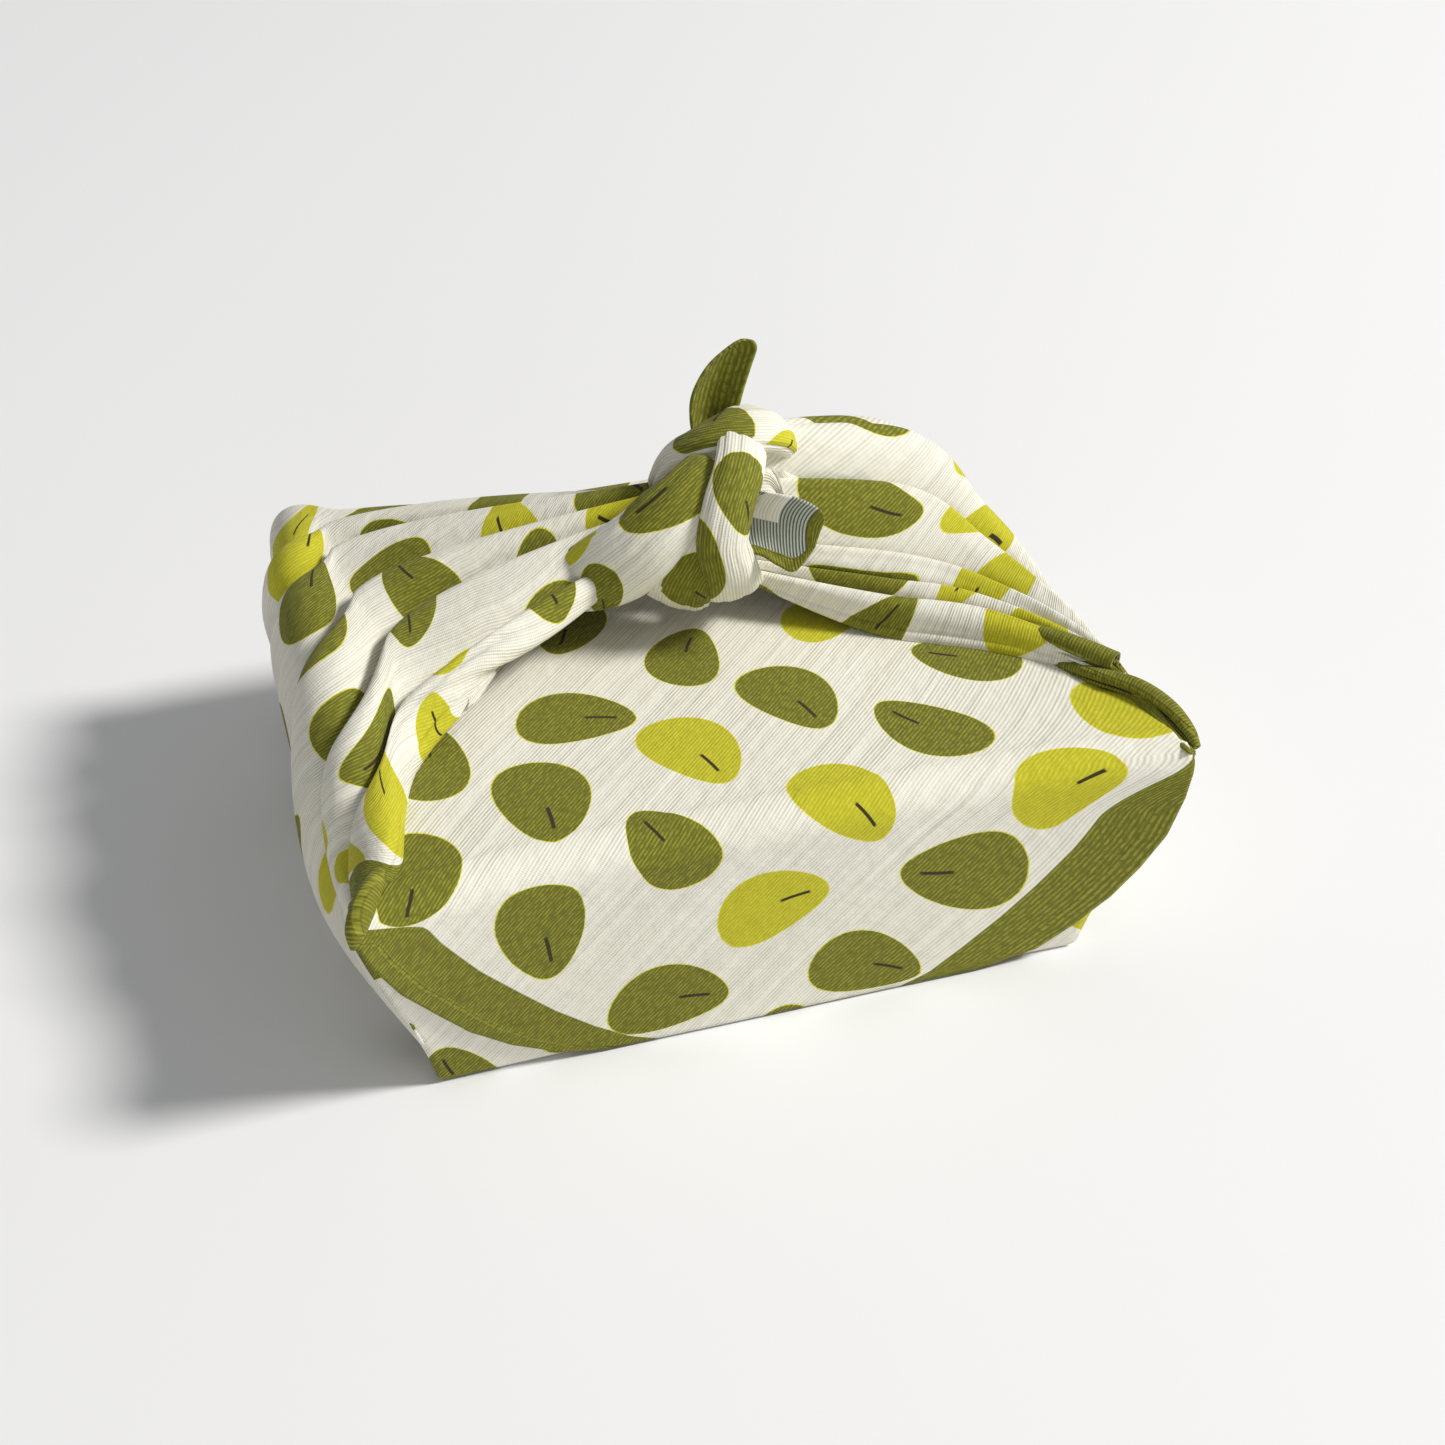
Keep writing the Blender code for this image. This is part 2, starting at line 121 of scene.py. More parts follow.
# Section of one fold from its front valley to its back valley: way across, height
FOLD_SECTION = (
    (0.0, 0.0), (0.10, 0.24), (0.28, 0.55), (0.52, 0.82), (0.75, 0.97), (0.90, 1.0), (0.985, 0.90),
    (1.02, 0.66), (1.01, 0.38), (0.99, 0.14), (1.0, 0.0),
)
# Columns of one fold, and rows between two stations
FOLD_COLUMNS = 26
STATION_ROWS = 26
# Valley lines from front to back, each with a point at every station
LEFT_LINES = (
    # start, flank, rim, shelf, slope, neck
    ((-121, -104, 71), (-114, -97, 75), (-105, -88, 77), (-91, -46, 78), (-66, -25, 85), (-2, 19, 91)),
    ((-120, -104, 68), (-113, -80, 66), (-105, -63, 75), (-89, -30, 78), (-58, -14, 87), (-2, 14, 101)),
    ((-118, -101, 60), (-115, -68, 57), (-107, -40, 77), (-86, 1, 80), (-57, 14, 88), (0, 17, 105)),
    ((-100, -88, 3), (-117, -46, 38), (-109, -6, 77), (-90, 28, 80), (-60, 32, 89), (2, 20, 107)),
    ((-101, 60, 4), (-109, 62, 38), (-107, 42, 76), (-91, 59, 79), (-60, 52, 89), (3, 25, 107)),
    ((-101, 82, 5), (-108, 84, 42), (-106, 64, 78), (-90, 73, 81), (-56, 60, 89), (4, 29, 103)),
    ((-99, 96, 30), (-102, 99, 58), (-100, 97, 76), (-85, 85, 79), (-50, 66, 85), (4, 31, 96)),
)
# At each station: fine pleats drawn toward the knot, and the roll of the front edge
PLEAT_RISE = (0.0, 0.1, 0.3, 0.8, 1.3, 0.4)
EDGE_ROLL = (0.8, 1.6, 2.3, 2.5, 2.6, 1.5)
# Cloth rolled under at the front line of each station
LEFT_TUCKS = (-12.0, -7.0, 6.0, 20.0, 32.0, 44.0)
RIGHT_TUCKS = (-10.0, -7.0, 0.0, 12.0, 24.0, 36.0)
# Turn of the rolled front edge, in degrees, and the number of its columns
ROLLED_EDGE = (285.0, 14.0, 18)
# Column that the roll faces away from, and rows over which its direction is smoothed
ROLL_FACING_COLUMN = 9
ROLL_SMOOTHING = 33
# Fine unevenness of the wings, and the number of pleats between two valley lines
LEFT_SEED = 11
RIGHT_SEED = 12
FINE_RISE = 0.7
LEFT_PLEATS = 1.7
RIGHT_PLEATS = 1.9
# Where the wings' first rows lie on the flat cloth, and the slant of the right wing on it
LEFT_FLAT_START = -160.0
RIGHT_FLAT_START = -110.0
RIGHT_FLAT_SLANT = 0.5
LEFT_FOLDS = (
    # first line, last line, height
    (0.0, 1.0, 8.0),
    (1.0, 2.0, 11.0),
    (2.0, 3.0, 11.5),
    (3.0, 4.0, 10.0),
    (4.0, 5.0, 9.0),
    (5.0, 6.0, 7.0),
)
RIGHT_LINES = (
    # start, flank, rim, shelf, slope, neck
    ((129, -106, 72), (124, -85, 75), (116, -62, 76.5), (92, -40, 76.5), (62, -22, 78), (25, 3, 88)),
    ((130, -105, 69), (125, -77, 75), (118, -50, 80), (96, -20, 84), (70, -7, 89), (25, 7, 97)),
    ((127, -103, 62), (122, -62, 70), (117, -28, 81), (108, 5, 91), (86, 24, 112), (28, 17, 129)),
    ((100, -88, 3), (113, -36, 38), (113, 6, 77), (102, 33, 92), (78, 39, 110), (28, 26, 126)),
    ((101, 40, 4), (109, 52, 40), (107, 54, 77), (93, 58, 88), (68, 52, 101), (27, 29, 114)),
    ((101, 82, 5), (107, 84, 42), (104, 82, 77), (88, 78, 83), (60, 64, 93), (24, 30, 103)),
    ((99, 96, 30), (102, 99, 58), (100, 97, 76), (84, 86, 79), (56, 70, 85), (22, 30, 96)),
)
RIGHT_FOLDS = (
    # first line, last line, height
    (0.0, 0.55, 6.0),
    (0.55, 0.80, 4.0),
    (0.80, 1.10, 4.5),
    (1.10, 1.60, 5.5),
    (1.60, 2.20, 5.5),
    (2.20, 3.00, 6.0),
    (3.00, 4.00, 6.5),
    (4.00, 5.00, 7.0),
    (5.00, 6.00, 6.0),
)

# Knot strands
HEART = (18.0, 16.0, 109.0)
KNOT_STRANDS = (
    # name, rows of x, y, z, half width, half thickness
    ("over_band", (
        (20, 22, 93, 4, 3), (13, 31, 98, 7, 5), (11, 33, 106, 8, 5), (13, 28, 117, 9, 6),
        (18, 21, 126, 10, 6), (28, 18, 131, 11, 6), (39, 21, 128, 11, 6), (44, 28, 118, 9, 6),
        (42, 33, 107, 7, 5), (38, 32, 98, 6, 5), (30, 24, 92, 4, 3),
    )),
    ("front_band", (
        (27, 20, 122, 6, 4), (28, 12, 129, 8, 5), (23, -1, 128, 8, 5), (17, -9, 121, 8, 6),
        (14, -13, 112, 8, 6), (16, -13, 102, 9, 6), (19, -7, 92, 10, 5), (22, 5, 88, 9, 5),
        (22, 14, 94, 5, 3),
    )),
    ("left_roll", (
        (18, 9, 125, 8, 6), (9, 2, 122, 9, 7), (0, -2, 116, 11, 7),
        (-9, -2, 107, 12, 8), (-19, 3, 98, 12, 8), (-30, 11, 90, 9, 5), (-40, 15, 87, 4, 2),
    )),
    ("lower_fan", (
        (12, 3, 115, 5, 5), (6, -5, 108, 8, 6), (2, -7, 100, 11, 6), (1, -3, 91, 12, 5),
        (4, 6, 87, 11, 4),
    )),
    ("right_roll", (
        (24, 18, 106, 12, 12), (36, 20, 108, 12, 13), (47, 22, 107, 10, 10), (54, 23, 106, 6, 6),
    )),
    ("knot_middle", (
        (0, 17, 100, 5, 5), (9, 17, 103, 13, 11), (18, 17, 104, 16, 13), (27, 19, 104, 15, 13),
        (37, 22, 103, 8, 7),
    )),
)
# Length over which a strand's end closes, in rows of its table
STRAND_CLOSE = 0.45
STRAND_ROWS = 22
STRAND_COLUMNS = 97
# Each strand takes the next part of the flat cloth: start, then the steps across and lengthwise
STRAND_FLAT_START = -160.0
STRAND_FLAT_STEP = (60.0, 30.0)
# Rolled hems at the two ears: turns of the roll, and its inner radius as a share of the outer
ROLL_WINDING = 1.35
ROLL_CORE = 0.42
ROLL_ROWS = 14
ROLL_COLUMNS = 73
RIGHT_HEM_ROLL = (
    # x, y, z, radius
    (88, -22, 77.5, 1.6), (97, -33, 78.5, 3.0), (106, -45, 79.5, 3.9), (114, -56, 80, 4.4),
    (122, -66, 79, 4.6),
)
RIGHT_EAR_ROLL = (
    # x, y, z, radius
    (109, -55, 74, 1.6), (116, -66, 76, 3.0), (124, -77, 77, 3.6), (129, -88, 76, 3.5),
    (131, -98, 74, 2.8), (131.5, -104, 71.5, 1.6),
)
LEFT_EAR_ROLL = (
    # x, y, z, radius
    (-104, -84, 74, 1.4), (-110, -92, 74.5, 3.0), (-115, -99, 74, 4.0), (-119, -105, 72, 4.2),
    (-121.5, -109.0, 69, 3.4), (-122.5, -111.0, 65, 1.0),
)
# Free ends of the cloth, with the way each one faces
END_ROWS = 12
END_COLUMNS = 41
FRONT_END_FACING = (0.35, -0.7, 0.6)
BACK_END_FACING = (-0.1, -1.0, 0.1)
FRONT_END = (
    # upper edge, lower edge, dip of the middle
    ((18, 2, 121), (13, -2, 106), 3.0),
    ((25, -5, 123), (18, -11, 107), 6.0),
    ((31, -11, 124), (25, -18, 108), 7.0),
    ((38, -15, 123), (29, -22, 106), 5.0),
    ((43.5, -18, 120), (33, -25, 105), 2.0),
    ((44, -20, 117), (40, -23, 111), 0.5),
)
BACK_END = (
    # left edge, right edge, dip of the middle
    ((18, 25, 122), (27, 23, 122), 3.0),
    ((17, 27, 132), (30, 24, 132), 5.0),
    ((18, 28, 140), (33, 26, 140), 5.0),
    ((23, 29, 148), (36, 27, 148), 4.0),
    ((30, 30, 153), (38, 28, 153), 2.0),
    ((34, 30, 155), (37, 29, 155), 0.5),
)

# Print: rounded leaves scattered over the cloth
LEAF_PITCH = 43.5
LEAF_STRETCH = (1.06, 0.92)
LEAF_SHIFT = 3.6
LEAF_SIZES = (0.86, 1.03)
# Least distance that the leaves are moved apart to, and the number of rounds for it
LEAF_SPACING = 40.0
LEAF_ROUNDS = 60
LEAF_LENGTH = 18.0
LEAF_WIDTH = 12.5
LIME_SHARE = 0.2
PRINT_SEED = 7
# Bend of the leaf's middle at its tip, narrowing toward the tip, and raggedness of its outline
LEAF_BEND = 2.8
LEAF_TAPER = -0.26
LEAF_RAG = 0.03
# Where the leaf's outline and the inside of its rim fade, as a share of its half size
LEAF_EDGE = (1.012, 1.032)
LEAF_RIM = (0.992, 1.012)
# Vein: distance from the leaf's middle line, its half width, its place along the leaf and half length
VEIN_SIDE = 0.8
VEIN_WIDTH = (0.4, 0.7)
VEIN_PLACE = 7.5
VEIN_LENGTH = (4.2, 5.2)

# Hem: stitch line's distance from the edge, its half width, stitch pitch and share, turned edge
SEAM_PLACE = 3.6
SEAM_WIDTH = (0.18, 0.42)
STITCH_PITCH = 3.0
STITCH_SHARE = 0.72
HEM_TURN = (4.2, 4.6)
HEM_STEP = (4.0, 4.6)

# Weave, with the unevenness of its threads in repeats a metre across, along and in depth
WEFT_PITCH = 0.6
RIB_WAVER = 2.6
WAVER_SCALE = (60.0, 14.0, 1.0)
STRENGTH_SCALE = (420.0, 12.0, 1.0)
SLUB_SCALE = (330.0, 9.0, 1.0)
GREY_SCALE = (520.0, 7.0, 3.0)
FLECK_SCALE = (1500.0, 420.0, 1.0)
RAG_SCALE = (900.0, 900.0, 1.0)
PATCH_SCALE = (9.0, 9.0, 1.0)
CREPE_SCALE = (220.0, 160.0, 1.0)
# Relief of the cloth
RIB_HEIGHT = 0.16
WEFT_HEIGHT = 0.03
SLUB_HEIGHT = 0.08
SEAM_DEPTH = 0.25
HEM_HEIGHT = 0.45
CREPE_HEIGHT = 0.6

# Stage, in metres and watts
FLOOR_HALF = 40.0
WORLD_COLOUR = (0.97, 0.98, 1.0, 1.0)
WORLD_STRENGTH = 0.31
LIT_PLACE = (0.0, 0.0, 0.05)
LIGHTS = (
    # name, place, disk width, power, colour
    ("key", (3.66, -1.26, 3.78), 1.30, 292.0, (1.0, 0.985, 0.955)),
    ("front_fill", (-0.5, -2.6, 0.55), 1.0, 7.0, (1.0, 1.0, 1.0)),
)
CAMERA_PLACE = (-0.19365, -0.65392, 0.51816)
CAMERA_TOWARD = (0.2522, 0.7785, -0.5748)
SENSOR_WIDTH = 36.0
LENS = 64.78

# Colours, linear
CREAM = (0.885, 0.865, 0.760)
# Darker cream: painted shade in the grooves between the ribs, and also the tone of the grey threads
GROOVE_SHADE_AND_GREY_THREAD = (0.63, 0.60, 0.48)
CREAM_SLUB = (0.93, 0.91, 0.84)
MOSS = (0.132, 0.138, 0.011)
MOSS_FLECK = (0.38, 0.365, 0.040)
LIME = (0.50, 0.475, 0.018)
LIME_FLECK = (0.70, 0.65, 0.045)
BROWN = (0.040, 0.030, 0.010)
REVERSE = (0.52, 0.54, 0.49)
REVERSE_SHADE = (0.11, 0.13, 0.075)
FLOOR = (0.86, 0.86, 0.87)


def along(points, where):
    """Smooth curve through the points. One unit of where for each gap between two points."""
    points = np.asarray(points, float)
    where = np.clip(np.asarray(where, float), 0.0, len(points) - 1.0)
    first = np.minimum(where.astype(int), len(points) - 2)
    part = (where - first).reshape((-1,) + (1,) * (points.ndim - 1))
    before = points[np.maximum(first - 1, 0)]
    start = points[first]
    end = points[first + 1]
    after = points[np.minimum(first + 2, len(points) - 1)]
    lead = 0.5 * (end - before)
    trail = 0.5 * (after - start)
    change = end - start
    return (
        start
        + lead * part
        + (3 * change - 2 * lead - trail) * part**2
        + (lead + trail - 2 * change) * part**3
    )


def ease(value):
    value = np.clip(value, 0.0, 1.0)
    return value * value * (3.0 - 2.0 * value)


def normals_of(grid):
    down = np.gradient(grid, axis=0)
    across = np.gradient(grid, axis=1)
    normal = np.cross(across, down)
    return normal / np.maximum(np.linalg.norm(normal, axis=2, keepdims=True), 1e-9)


def arc_lengths(grid, axis):
    """Distance along each row or column of the grid from its start."""
    steps = np.linalg.norm(np.diff(grid, axis=axis), axis=2)
    zero = np.zeros_like(steps[:1] if axis == 0 else steps[:, :1])
    return np.cumsum(np.concatenate([zero, steps], axis=axis), axis=axis)


def wobble(across, lengthwise, seed, waves=5):
    """Soft unevenness between -1 and 1, from a few seeded waves."""
    draws = np.random.default_rng(seed)
    total = np.zeros(np.broadcast(across, lengthwise).shape)
    for number in range(waves):
        rate = draws.uniform(0.5, 1.0, 2) * (1.0 + 0.6 * number)
        phase = draws.uniform(0.0, 2.0 * math.pi, 2)
        total = total + np.sin(across * rate[0] + phase[0]) * np.sin(lengthwise * rate[1] + phase[1])
    return total / waves


def leaf_layout():
    """Places, turns, sizes and tones of the printed leaves on the flat cloth."""
    draws = np.random.default_rng(PRINT_SEED)
    rows = []
    count = int(CLOTH_HALF / LEAF_PITCH) + 2
    for row in range(-count, count + 1):
        for column in range(-count, count + 1):
            x = (column + 0.5 * (row % 2)) * LEAF_PITCH * LEAF_STRETCH[0]
            x += draws.uniform(-LEAF_SHIFT, LEAF_SHIFT)
            y = row * LEAF_PITCH * LEAF_STRETCH[1] + draws.uniform(-LEAF_SHIFT, LEAF_SHIFT)
            turn = draws.uniform(0.0, 2.0 * math.pi)
            size = draws.uniform(*LEAF_SIZES)
            tone = 1.0 if draws.uniform() < LIME_SHARE else 0.0
            rows.append((x, y, turn, size, tone))
    rows = np.array(rows)
    rows = rows[np.abs(rows[:, :2]).max(axis=1) < CLOTH_HALF + 2.0]
    inside = CLOTH_HALF - BORDER - LEAF_LENGTH + 1.0
    for _ in range(LEAF_ROUNDS):
        rows[:, :2] = np.clip(rows[:, :2], -inside, inside)
        gap = rows[:, None, :2] - rows[None, :, :2]
        far = np.maximum(np.linalg.norm(gap, axis=2), 1e-3)
        near = np.clip(LEAF_SPACING - far, 0.0, None) * (far > 1e-2)
        rows[:, :2] += (gap / far[:, :, None] * near[:, :, None] * 0.3).sum(axis=1)
    return rows


LEAVES = leaf_layout()
# Leaves that show on the knot, one table for each strand, in that strand's own flat coordinates
STRAND_LEAVES = {
    # x, y, turn, size, tone
    "over_band": ((-150, 52.4, 0.3, 0.72, 0.0), (-163, 68.4, 0.2, 0.55, 1.0), (-122, 81.4, 0.0, 0.9, 0.0)),
    "front_band": ((-86, 3, 0.9, 0.72, 0.0), (-99, 25, 1.4, 0.75, 0.0), (-110, -19, 0.0, 0.7, 0.0)),
    "left_roll": ((-31, -46, 1.5, 1.12, 0.0), (-19, -9, 0.5, 0.55, 0.0), (-40, -6, 1.2, 0.60, 1.0)),
    "lower_fan": ((40, -68, 0.4, 0.60, 0.0), (22, -62, 1.3, 0.50, 0.0), (80, -60, 0.0, 0.8, 0.0)),
    "right_roll": ((100, -110, 0.6, 0.70, 1.0), (118, -100, 0.2, 0.70, 0.0)),
    "knot_middle": ((165, -135, 0.4, 0.70, 0.0), (202, -125, 1.0, 0.60, 1.0)),
}


def motif_of(flat, leaves):
    """Each face corner's place in the frame of the leaf nearest to the middle of its face."""
    middle = flat.mean(axis=1)
    gap = middle[:, None] - leaves[None, :, :2]
    nearest = (gap**2).sum(axis=2).argmin(axis=1)
    chosen = leaves[nearest]
    offset = flat - chosen[:, None, :2]
    turn_cos = np.cos(chosen[:, 2])[:, None]
    turn_sin = np.sin(chosen[:, 2])[:, None]
    size = chosen[:, 3][:, None]
    x = (offset[:, :, 0] * turn_cos + offset[:, :, 1] * turn_sin) / size
    y = (offset[:, :, 1] * turn_cos - offset[:, :, 0] * turn_sin) / size
    return np.stack([x, y], axis=2), chosen[:, 4]


def cloth_piece(name, grid, flat, outside, materials, thickness=SHEET, leaves=None, wrap=False):
    """Sheet through a grid of points, with its flat cloth coordinates in millimetres."""
    rows, columns = grid.shape[:2]
    row, column = np.meshgrid(np.arange(rows - 1), np.arange(columns - 1), indexing="ij")
    first = (row * columns + column).reshape(-1)
    faces = np.stack([first, first + 1, first + columns + 1, first + columns], axis=1)
    points = grid.reshape(-1, 3)
    corner = points[faces]
    normal = np.cross(corner[:, 2] - corner[:, 0], corner[:, 3] - corner[:, 1])
    wanted = outside.reshape(-1, 3)[faces].mean(axis=1)
    if (normal * wanted).sum() < 0:
        faces = faces[:, ::-1]
    mesh = bpy.data.meshes.new(name)
    mesh.from_pydata((points * MM).tolist(), [], faces.tolist())
    flat_corner = flat.reshape(-1, 2)[faces]
    motif, tone = motif_of(flat_corner, LEAVES if leaves is None else leaves)
    cloth_map = mesh.uv_layers.new(name="cloth")
    cloth_map.data.foreach_set("uv", (flat_corner * MM).astype(np.float32).reshape(-1))
    motif_map = mesh.uv_layers.new(name="motif")
    motif_map.data.foreach_set("uv", (motif * MM).astype(np.float32).reshape(-1))
    tones = mesh.attributes.new("tone", "FLOAT", "FACE")
    tones.data.foreach_set("value", tone.astype(np.float32))
    mesh.polygons.foreach_set("use_smooth", np.ones(len(faces), bool))
    for material in materials:
        mesh.materials.append(material)
    made = bpy.data.objects.new(name, mesh)
    bpy.context.scene.collection.objects.link(made)
    if wrap:
        weld = made.modifiers.new("seam", "WELD")
        weld.merge_threshold = 1e-6
    if thickness:
        solid = made.modifiers.new("cloth_thickness", "SOLIDIFY")
        solid.thickness = thickness * MM
        solid.offset = -1.0
        solid.use_even_offset = False
        if len(materials) > 1:
            solid.material_offset = 1
    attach(made, "root")
    return made


def node(tree, kind, **settings):
    made = tree.nodes.new(kind)
    for key, value in settings.items():
        setattr(made, key, value)
    return made


class Shade:
    """Small helper that strings shader nodes together."""

    def __init__(self, name):
        self.material = bpy.data.materials.new(name)
        self.material.use_nodes = True
        self.tree = self.material.node_tree
        self.surface = self.tree.nodes["Principled BSDF"]

    def link(self, source, socket):
        if isinstance(source, tuple):
            socket.default_value = (*source, 1.0)
        elif isinstance(source, (int, float)):
            socket.default_value = source
        else:
            self.tree.links.new(source, socket)

    def math(self, kind, first, second=0.0, third=0.0):
        made = node(self.tree, "ShaderNodeMath", operation=kind)
        for source, socket in zip((first, second, third), made.inputs):
            self.link(source, socket)
        return made.outputs[0]

    def mix(self, share, first, second):
        made = node(self.tree, "ShaderNodeMix", data_type="RGBA")
        self.link(share, made.inputs[0])
        self.link(first, made.inputs[6])
        self.link(second, made.inputs[7])
        return made.outputs[2]

    def step(self, value, low, high):
        """0 below low, 1 above high, smooth between."""
        made = node(self.tree, "ShaderNodeMapRange", interpolation_type="SMOOTHSTEP")
        self.link(value, made.inputs[0])
        made.inputs[1].default_value = low
        made.inputs[2].default_value = high
        return made.outputs[0]

    def below(self, value, low, high):
        """1 below low, 0 above high, smooth between."""
        return self.math("SUBTRACT", 1.0, self.step(value, low, high))

    def map_of(self, name):
        made = node(self.tree, "ShaderNodeUVMap", uv_map=name)
        parts = node(self.tree, "ShaderNodeSeparateXYZ")
        self.tree.links.new(made.outputs[0], parts.inputs[0])
        return made.outputs[0], parts.outputs[0], parts.outputs[1]

    def noise(self, vector, scales, detail=2.0, rough=0.5):
        stretch = node(self.tree, "ShaderNodeVectorMath", operation="MULTIPLY")
        self.tree.links.new(vector, stretch.inputs[0])
        stretch.inputs[1].default_value = scales
        made = node(self.tree, "ShaderNodeTexNoise")
        made.inputs["Scale"].default_value = 1.0
        made.inputs["Detail"].default_value = detail
        made.inputs["Roughness"].default_value = rough
        self.tree.links.new(stretch.outputs[0], made.inputs["Vector"])
        return made.outputs[0]


def weave(shade, uv, x, y):
    """Ribs, weft and uneven threads of the cotton, each from 0 to 1."""
    rib_turns = shade.math("MULTIPLY", x, 2.0 * math.pi / (RIB_PITCH * MM))
    rib_turns = shade.math("MULTIPLY_ADD", shade.noise(uv, WAVER_SCALE, 2.0), RIB_WAVER, rib_turns)
    rib = shade.math("MULTIPLY_ADD", shade.math("SINE", rib_turns), 0.5, 0.5)
    weft_turns = shade.math("MULTIPLY", y, 2.0 * math.pi / (WEFT_PITCH * MM))
    weft = shade.math("MULTIPLY_ADD", shade.math("SINE", weft_turns), 0.5, 0.5)
    strength = shade.step(shade.noise(uv, STRENGTH_SCALE, 3.0), 0.25, 0.75)
    slub = shade.step(shade.noise(uv, SLUB_SCALE, 2.0, 0.6), 0.63, 0.72)
    return rib, weft, strength, slub


def cream_ground(shade, uv, rib, strength, slub):
    """Unprinted cotton: painted shade in the grooves between its ribs, grey threads and pale slubs."""
    grey_line = shade.step(shade.noise(uv, GREY_SCALE, 2.0, 0.6), 0.58, 0.70)
    # Painted shade: the cream darkens toward the grooves between the ribs, more where the ribs stand
    # stronger
    depth = shade.math("MULTIPLY_ADD", strength, 0.75, 0.25)
    painted_groove_shade = shade.math("MULTIPLY", shade.math("SUBTRACT", 1.0, rib), depth)
    cream = shade.mix(painted_groove_shade, CREAM, GROOVE_SHADE_AND_GREY_THREAD)
    cream = shade.mix(shade.math("MULTIPLY", grey_line, 0.5), cream, GROOVE_SHADE_AND_GREY_THREAD)
    return shade.mix(shade.math("MULTIPLY", slub, 0.8), cream, CREAM_SLUB)


def inks(shade, uv, rib):
    """The two greens, each with pale flecks on the ribs."""
    broken = shade.step(shade.noise(uv, FLECK_SCALE, 1.0), 0.36, 0.62)
    fleck = shade.math("MULTIPLY", rib, shade.math("MULTIPLY_ADD", broken, 0.8, 0.2))
    moss = shade.mix(shade.math("MULTIPLY", fleck, 0.75), MOSS, MOSS_FLECK)
    lime = shade.mix(shade.math("MULTIPLY", fleck, 0.7), LIME, LIME_FLECK)
    return moss, lime


def leaf_print(shade, uv, leaf_x, leaf_y, ink):
    """The leaf's area, and its colour with a lime rim and a short brown vein."""
    along_leaf = shade.math("DIVIDE", leaf_x, LEAF_LENGTH * MM)
    squared = shade.math("MULTIPLY", along_leaf, along_leaf)
    aside = shade.math("SUBTRACT", leaf_y, shade.math("MULTIPLY", squared, LEAF_BEND * MM))
    taper = shade.math("MULTIPLY_ADD", along_leaf, LEAF_TAPER, 1.0)
    across = shade.math("DIVIDE", aside, shade.math("MULTIPLY", taper, LEAF_WIDTH * MM))
    far = shade.math("SQRT", shade.math("ADD", squared, shade.math("MULTIPLY", across, across)))
    ragged = shade.math("MULTIPLY_ADD", shade.noise(uv, RAG_SCALE, 1.0), LEAF_RAG, far)
    leaf = shade.below(ragged, *LEAF_EDGE)
    colour = shade.mix(shade.below(ragged, *LEAF_RIM), LIME_FLECK, ink)
    vein_side = shade.math("ABSOLUTE", shade.math("SUBTRACT", aside, VEIN_SIDE * MM))
    vein_way = shade.math("ABSOLUTE", shade.math("SUBTRACT", leaf_x, VEIN_PLACE * MM))
    vein = shade.math(
        "MULTIPLY",
        shade.below(vein_side, VEIN_WIDTH[0] * MM, VEIN_WIDTH[1] * MM),
        shade.below(vein_way, VEIN_LENGTH[0] * MM, VEIN_LENGTH[1] * MM),
    )
    return leaf, shade.mix(vein, colour, BROWN)


